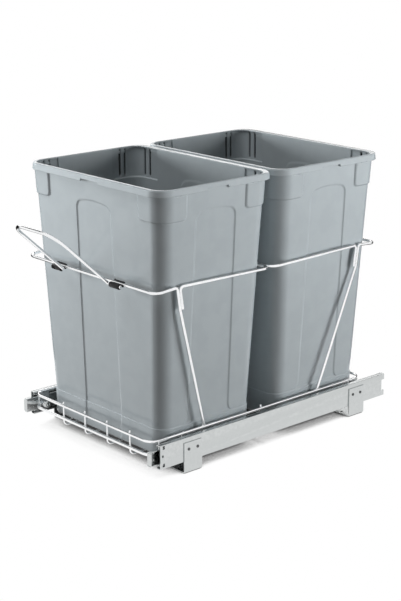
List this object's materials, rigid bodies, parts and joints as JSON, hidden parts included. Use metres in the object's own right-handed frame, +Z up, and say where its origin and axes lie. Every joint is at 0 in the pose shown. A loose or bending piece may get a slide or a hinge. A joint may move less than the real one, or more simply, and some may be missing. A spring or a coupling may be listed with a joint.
{
  "type": "pull-out waste bin unit",
  "caption": "Pull-out waste bin unit: a chromed wire basket on side-mounted full-extension ball slides, carrying tall open bins in wire hoops, with a folding bail handle.",
  "frame": {"origin": "centre of the footprint, on the cabinet floor under the bracket feet", "axes": "+Z up, -Y towards the user (the way the basket pulls out), +X to the right for someone looking along +Y"},
  "size_m": [0.3746, 0.6776, 0.4915],
  "materials": {
    "zinc": "satin zinc plate",
    "chrome_wire": "bright chrome plate",
    "grey_plastic": "satin moulded polypropylene",
    "black_plastic": "semi-gloss moulded",
    "bumper_rubber": "matte"
  },
  "bodies": {
    "base": {"right_cabinet_rail": "zinc", "left_cabinet_rail": "zinc", "right_rear_bumper": "bumper_rubber", "left_rear_bumper": "bumper_rubber", "right_front_bracket": "zinc", "left_front_bracket": "zinc", "right_rear_bracket": "zinc", "left_rear_bracket": "zinc", "right_front_bracket_rivet_1": "zinc", "right_front_bracket_rivet_2": "zinc", "right_rear_bracket_rivet_1": "zinc", "right_rear_bracket_rivet_2": "zinc", "left_front_bracket_rivet_1": "zinc", "left_front_bracket_rivet_2": "zinc", "left_rear_bracket_rivet_1": "zinc", "left_rear_bracket_rivet_2": "zinc"},
    "right_outer_cage": {"right_outer_ball_cage": "zinc"},
    "left_outer_cage": {"left_outer_ball_cage": "zinc"},
    "right_middle": {"right_middle_rail": "zinc"},
    "left_middle": {"left_middle_rail": "zinc"},
    "right_inner_cage": {"right_inner_ball_cage": "zinc"},
    "left_inner_cage": {"left_inner_ball_cage": "zinc"},
    "basket": {"right_drawer_rail": "zinc", "left_drawer_rail": "zinc", "right_front_mounting_tab": "chrome_wire", "right_rear_mounting_tab": "chrome_wire", "left_front_mounting_tab": "chrome_wire", "left_rear_mounting_tab": "chrome_wire", "right_front_tab_bolt": "zinc", "right_rear_tab_bolt": "zinc", "left_front_tab_bolt": "zinc", "left_rear_tab_bolt": "zinc", "right_front_tab_nut": "zinc", "right_rear_tab_nut": "zinc", "left_front_tab_nut": "zinc", "left_rear_tab_nut": "zinc", "basket_top_frame": "chrome_wire", "basket_front_rod": "chrome_wire", "floor_wire_1": "chrome_wire", "floor_wire_2": "chrome_wire", "floor_wire_3": "chrome_wire", "floor_wire_4": "chrome_wire", "front_cross_wire": "chrome_wire", "middle_cross_wire": "chrome_wire", "rear_cross_wire": "chrome_wire", "front_hoop_front_half": "chrome_wire", "front_hoop_rear_half": "chrome_wire", "rear_hoop_front_half": "chrome_wire", "rear_hoop_rear_half": "chrome_wire", "right_handle_clip": "black_plastic", "left_handle_clip": "black_plastic"},
    "handle": {"bail_handle": "chrome_wire"},
    "front_bin_body": {"front_bin": "grey_plastic"},
    "rear_bin_body": {"rear_bin": "grey_plastic"}
  },
  "joints": [
    {"name": "basket_slide", "type": "slide", "parent": "base", "child": "basket", "axis": [0, -1, 0], "range_m": [0, 0.559]},
    {"name": "right_middle_slide", "type": "slide", "parent": "base", "child": "right_middle", "axis": [0, -1, 0], "range_m": [0, 0.28]},
    {"name": "left_middle_slide", "type": "slide", "parent": "base", "child": "left_middle", "axis": [0, -1, 0], "range_m": [0, 0.28]},
    {"name": "right_outer_cage_slide", "type": "slide", "parent": "base", "child": "right_outer_cage", "axis": [0, -1, 0], "range_m": [0, 0.14]},
    {"name": "left_outer_cage_slide", "type": "slide", "parent": "base", "child": "left_outer_cage", "axis": [0, -1, 0], "range_m": [0, 0.14]},
    {"name": "right_inner_cage_slide", "type": "slide", "parent": "base", "child": "right_inner_cage", "axis": [0, -1, 0], "range_m": [0, 0.42]},
    {"name": "left_inner_cage_slide", "type": "slide", "parent": "base", "child": "left_inner_cage", "axis": [0, -1, 0], "range_m": [0, 0.42]},
    {"name": "handle_fold", "type": "hinge", "parent": "basket", "child": "handle", "pos_m": [0, -0.22746, 0.32], "axis": [-1, 0, 0], "range_deg": [-132, 50]},
    {"name": "front_bin_lift", "type": "slide", "parent": "basket", "child": "front_bin_body", "axis": [0, 0, 1], "range_m": [0, 0.48]},
    {"name": "rear_bin_lift", "type": "slide", "parent": "basket", "child": "rear_bin_body", "axis": [0, 0, 1], "range_m": [0, 0.48]}
  ],
  "couplings": [
    {"joint": "right_middle_slide", "follows": "basket_slide", "ratio": 0.5},
    {"joint": "left_middle_slide", "follows": "basket_slide", "ratio": 0.5},
    {"joint": "right_outer_cage_slide", "follows": "basket_slide", "ratio": 0.25},
    {"joint": "left_outer_cage_slide", "follows": "basket_slide", "ratio": 0.25},
    {"joint": "right_inner_cage_slide", "follows": "basket_slide", "ratio": 0.75},
    {"joint": "left_inner_cage_slide", "follows": "basket_slide", "ratio": 0.75}
  ]
}
